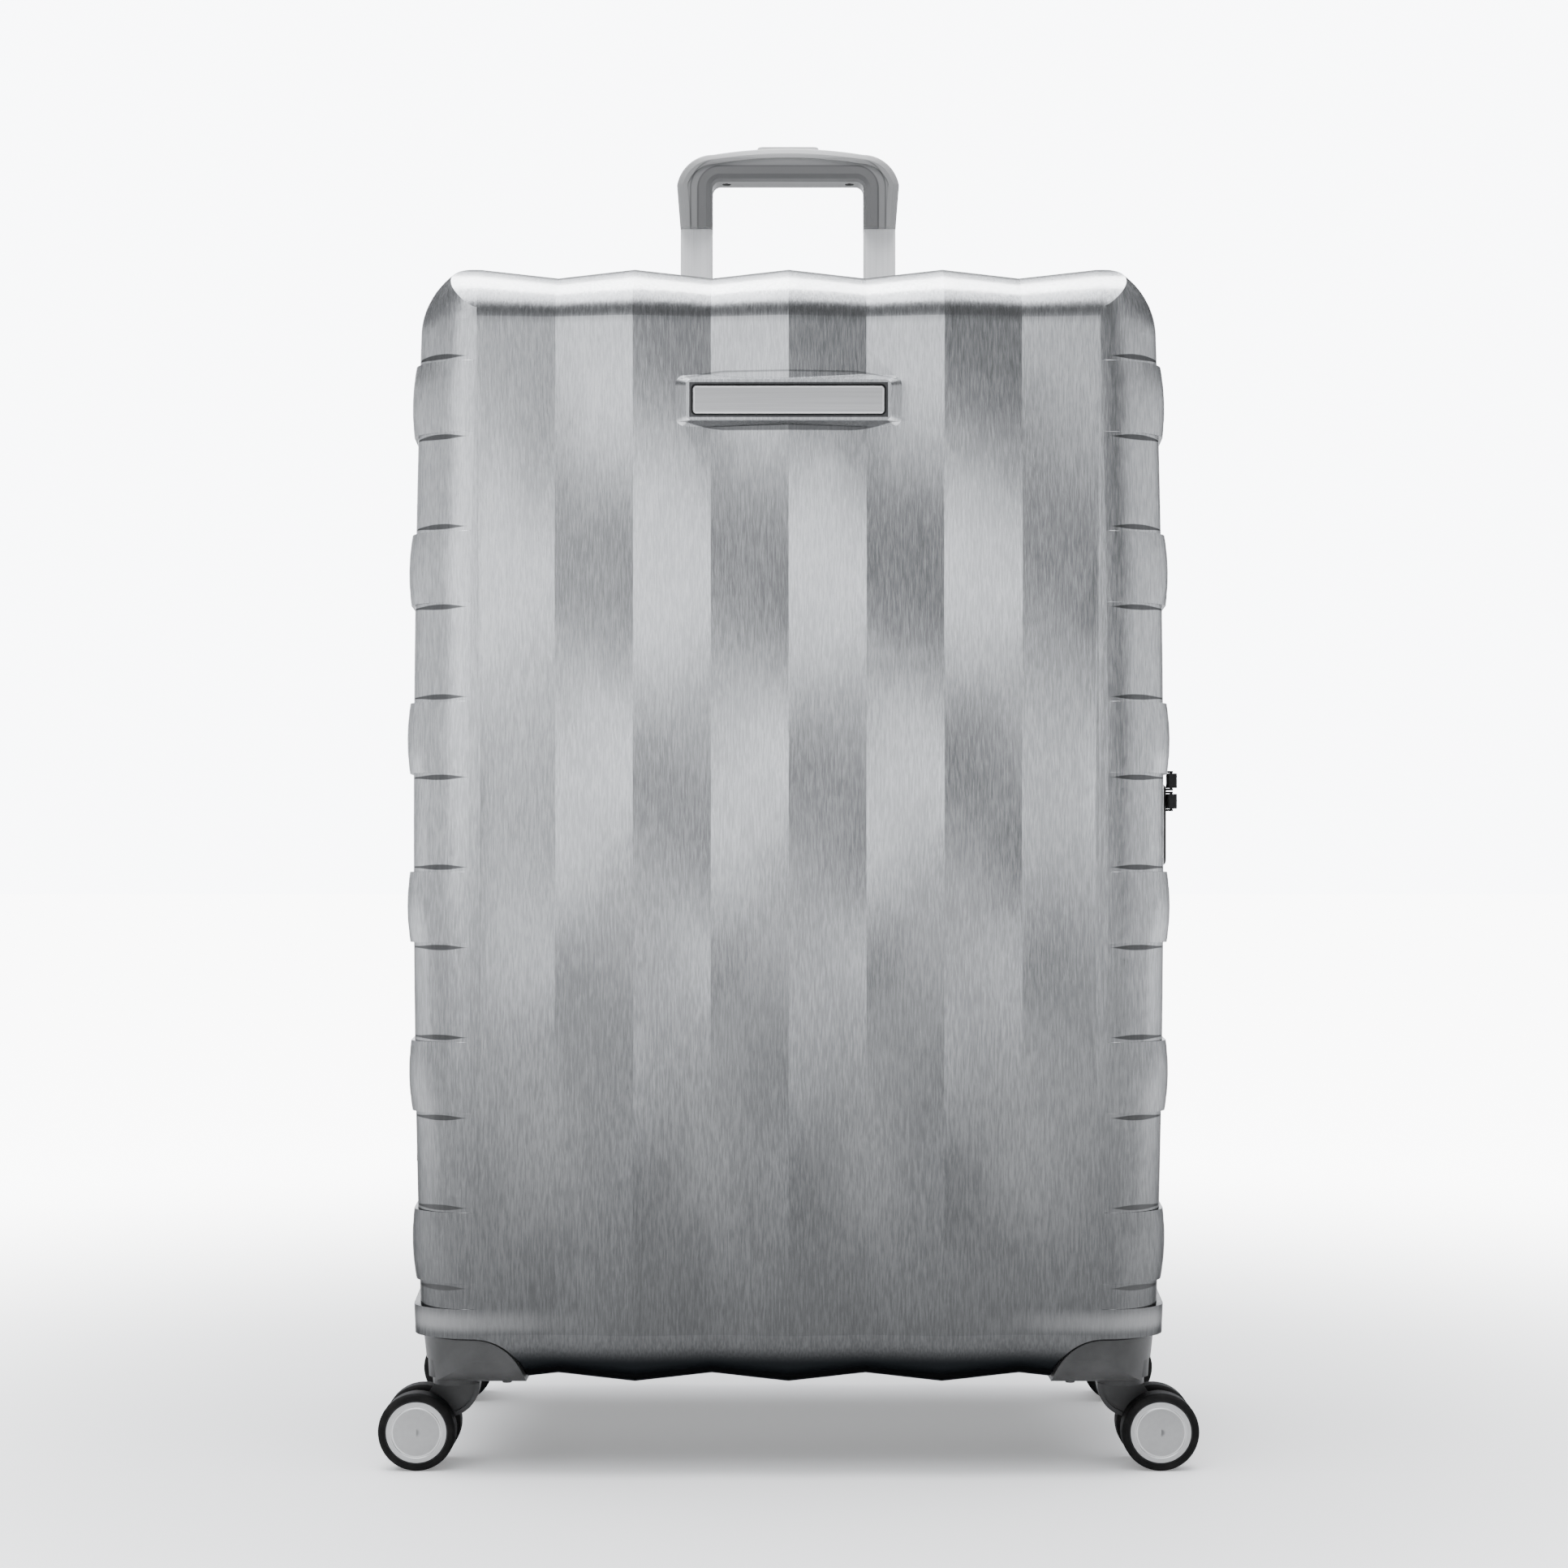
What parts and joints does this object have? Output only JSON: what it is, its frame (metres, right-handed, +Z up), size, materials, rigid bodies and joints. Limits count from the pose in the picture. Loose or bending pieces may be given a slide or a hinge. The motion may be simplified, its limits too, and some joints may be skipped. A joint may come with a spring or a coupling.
{
  "type": "hard shell suitcase",
  "caption": "Upright hard shell travel case with folded silver shells, zip round the middle, telescopic handle and swivel twin wheels.",
  "frame": {"origin": "on the floor under the middle of the case, in the zip plane", "axes": "+Z up, front face towards -Y, +X to the right seen from the front"},
  "size_m": [0.5436, 0.3293, 0.9335],
  "materials": {
    "shell": "brushed metallic silver film",
    "housing_plastic": "satin moulded grey",
    "fork_plastic": "satin moulded grey",
    "steel": "plain",
    "tyre": "matt rubber",
    "wheel_core": "matt",
    "wheel_disc": "satin silver",
    "zip_tape": "woven tape with moulded teeth",
    "lining": "woven polyester",
    "divider": "woven polyester",
    "strap": "webbing",
    "buckle": "moulded",
    "nameplate": "brushed, bare",
    "gasket": "matt",
    "outer_tube": "mill finish",
    "tube": "satin anodised",
    "collar": "moulded",
    "grip": "soft touch grey",
    "screw": "black",
    "button": "satin silver",
    "carry_handle": "soft touch grey",
    "anchor": "satin moulded grey",
    "lock": "satin",
    "latch": "satin",
    "dial": "moulded",
    "slider": "black",
    "pull": "black"
  },
  "bodies": {
    "rear_half": {"rear_shell": "shell", "rear_zip_tape": "zip_tape", "rear_lining": "lining", "cross_straps": "strap", "strap_buckle": "buckle", "outer_tubes": "outer_tube", "trolley_bezel": "housing_plastic", "trolley_foot": "housing_plastic", "handle_anchors": "anchor", "lock_body": "lock", "rear_left_housing": "housing_plastic", "rear_right_housing": "housing_plastic"},
    "front_half": {"front_shell": "shell", "front_zip_tape": "zip_tape", "front_lining": "lining", "divider_panel": "divider", "nameplate": "nameplate", "nameplate_gasket": "gasket", "front_left_housing": "housing_plastic", "front_right_housing": "housing_plastic"},
    "middle_stage": {"middle_tubes": "tube", "middle_tube_collars": "collar"},
    "inner_stage": {"inner_tubes": "tube", "trolley_grip": "grip", "grip_screws": "screw"},
    "release": {"release_button": "button", "release_yoke": "steel"},
    "top_carry": {"top_handle": "carry_handle"},
    "side_carry": {"side_handle": "carry_handle"},
    "dial_1": {"lock_dial_1": "dial"},
    "dial_2": {"lock_dial_2": "dial"},
    "dial_3": {"lock_dial_3": "dial"},
    "latch": {"lock_latch": "latch"},
    "upper_zip": {"upper_slider": "slider"},
    "lower_zip": {"lower_slider": "slider"},
    "upper_tab": {"upper_pull": "pull"},
    "lower_tab": {"lower_pull": "pull"},
    "front_left_swivel": {"front_left_fork": "fork_plastic", "front_left_axle": "steel"},
    "front_left_wheels": {"front_left_tyres": "tyre", "front_left_wheel_cores": "wheel_core", "front_left_wheel_discs": "wheel_disc"},
    "front_right_swivel": {"front_right_fork": "fork_plastic", "front_right_axle": "steel"},
    "front_right_wheels": {"front_right_tyres": "tyre", "front_right_wheel_cores": "wheel_core", "front_right_wheel_discs": "wheel_disc"},
    "rear_left_swivel": {"rear_left_fork": "fork_plastic", "rear_left_axle": "steel"},
    "rear_left_wheels": {"rear_left_tyres": "tyre", "rear_left_wheel_cores": "wheel_core", "rear_left_wheel_discs": "wheel_disc"},
    "rear_right_swivel": {"rear_right_fork": "fork_plastic", "rear_right_axle": "steel"},
    "rear_right_wheels": {"rear_right_tyres": "tyre", "rear_right_wheel_cores": "wheel_core", "rear_right_wheel_discs": "wheel_disc"}
  },
  "joints": [
    {"name": "front_opening", "type": "hinge", "parent": "rear_half", "child": "front_half", "pos_m": [-0.2615, 0, 0.42], "axis": [0, 0, -1], "range_deg": [0, 165]},
    {"name": "middle_slide", "type": "slide", "parent": "rear_half", "child": "middle_stage", "axis": [0, 0, 1], "range_m": [0, 0.13]},
    {"name": "inner_slide", "type": "slide", "parent": "middle_stage", "child": "inner_stage", "axis": [0, 0, 1], "range_m": [-0.105, 0.03]},
    {"name": "button_press", "type": "slide", "parent": "inner_stage", "child": "release", "axis": [0, 0, -1], "range_m": [0, 0.004], "stiffness_N_per_m": 1200, "springref_m": -0.004},
    {"name": "top_handle_lift", "type": "slide", "parent": "rear_half", "child": "top_carry", "axis": [0, 0, 1], "range_m": [0, 0.008], "stiffness_N_per_m": 300, "springref_m": -0.004},
    {"name": "side_handle_lift", "type": "slide", "parent": "rear_half", "child": "side_carry", "axis": [1, 0, 0], "range_m": [0, 0.008], "stiffness_N_per_m": 300, "springref_m": -0.004},
    {"name": "latch_slide", "type": "slide", "parent": "rear_half", "child": "latch", "axis": [0, 0, 1], "range_m": [0, 0.004], "stiffness_N_per_m": 300, "springref_m": -0.003},
    {"name": "upper_slider_run", "type": "slide", "parent": "rear_half", "child": "upper_zip", "axis": [0, 0, 1], "range_m": [0, 0.2]},
    {"name": "lower_slider_run", "type": "slide", "parent": "rear_half", "child": "lower_zip", "axis": [0, 0, -1], "range_m": [0, 0.2]},
    {"name": "upper_pull_swing", "type": "hinge", "parent": "upper_zip", "child": "upper_tab", "pos_m": [0.27, 0, 0.4565], "axis": [0, 0, -1], "range_deg": [0, 170]},
    {"name": "lower_pull_swing", "type": "hinge", "parent": "lower_zip", "child": "lower_tab", "pos_m": [0.27, 0, 0.442], "axis": [0, 0, -1], "range_deg": [0, 170]},
    {"name": "dial_1_turn", "type": "hinge", "parent": "rear_half", "child": "dial_1", "pos_m": [0.2627, 0.027, 0.408], "axis": [0, 0, 1], "continuous": true},
    {"name": "dial_2_turn", "type": "hinge", "parent": "rear_half", "child": "dial_2", "pos_m": [0.2627, 0.027, 0.4165], "axis": [0, 0, 1], "continuous": true},
    {"name": "dial_3_turn", "type": "hinge", "parent": "rear_half", "child": "dial_3", "pos_m": [0.2627, 0.027, 0.425], "axis": [0, 0, 1], "continuous": true},
    {"name": "front_left_swivel", "type": "hinge", "parent": "front_half", "child": "front_left_swivel", "pos_m": [-0.22, -0.113, 0.057], "axis": [0, 0, 1], "continuous": true},
    {"name": "front_left_roll", "type": "hinge", "parent": "front_left_swivel", "child": "front_left_wheels", "pos_m": [-0.244, -0.113, 0.0254], "axis": [0, 1, 0], "continuous": true},
    {"name": "front_right_swivel", "type": "hinge", "parent": "front_half", "child": "front_right_swivel", "pos_m": [0.22, -0.113, 0.057], "axis": [0, 0, 1], "continuous": true},
    {"name": "front_right_roll", "type": "hinge", "parent": "front_right_swivel", "child": "front_right_wheels", "pos_m": [0.244, -0.113, 0.0254], "axis": [0, 1, 0], "continuous": true},
    {"name": "rear_left_swivel", "type": "hinge", "parent": "rear_half", "child": "rear_left_swivel", "pos_m": [-0.22, 0.113, 0.057], "axis": [0, 0, 1], "continuous": true},
    {"name": "rear_left_roll", "type": "hinge", "parent": "rear_left_swivel", "child": "rear_left_wheels", "pos_m": [-0.244, 0.113, 0.0254], "axis": [0, 1, 0], "continuous": true},
    {"name": "rear_right_swivel", "type": "hinge", "parent": "rear_half", "child": "rear_right_swivel", "pos_m": [0.22, 0.113, 0.057], "axis": [0, 0, 1], "continuous": true},
    {"name": "rear_right_roll", "type": "hinge", "parent": "rear_right_swivel", "child": "rear_right_wheels", "pos_m": [0.244, 0.113, 0.0254], "axis": [0, 1, 0], "continuous": true}
  ]
}
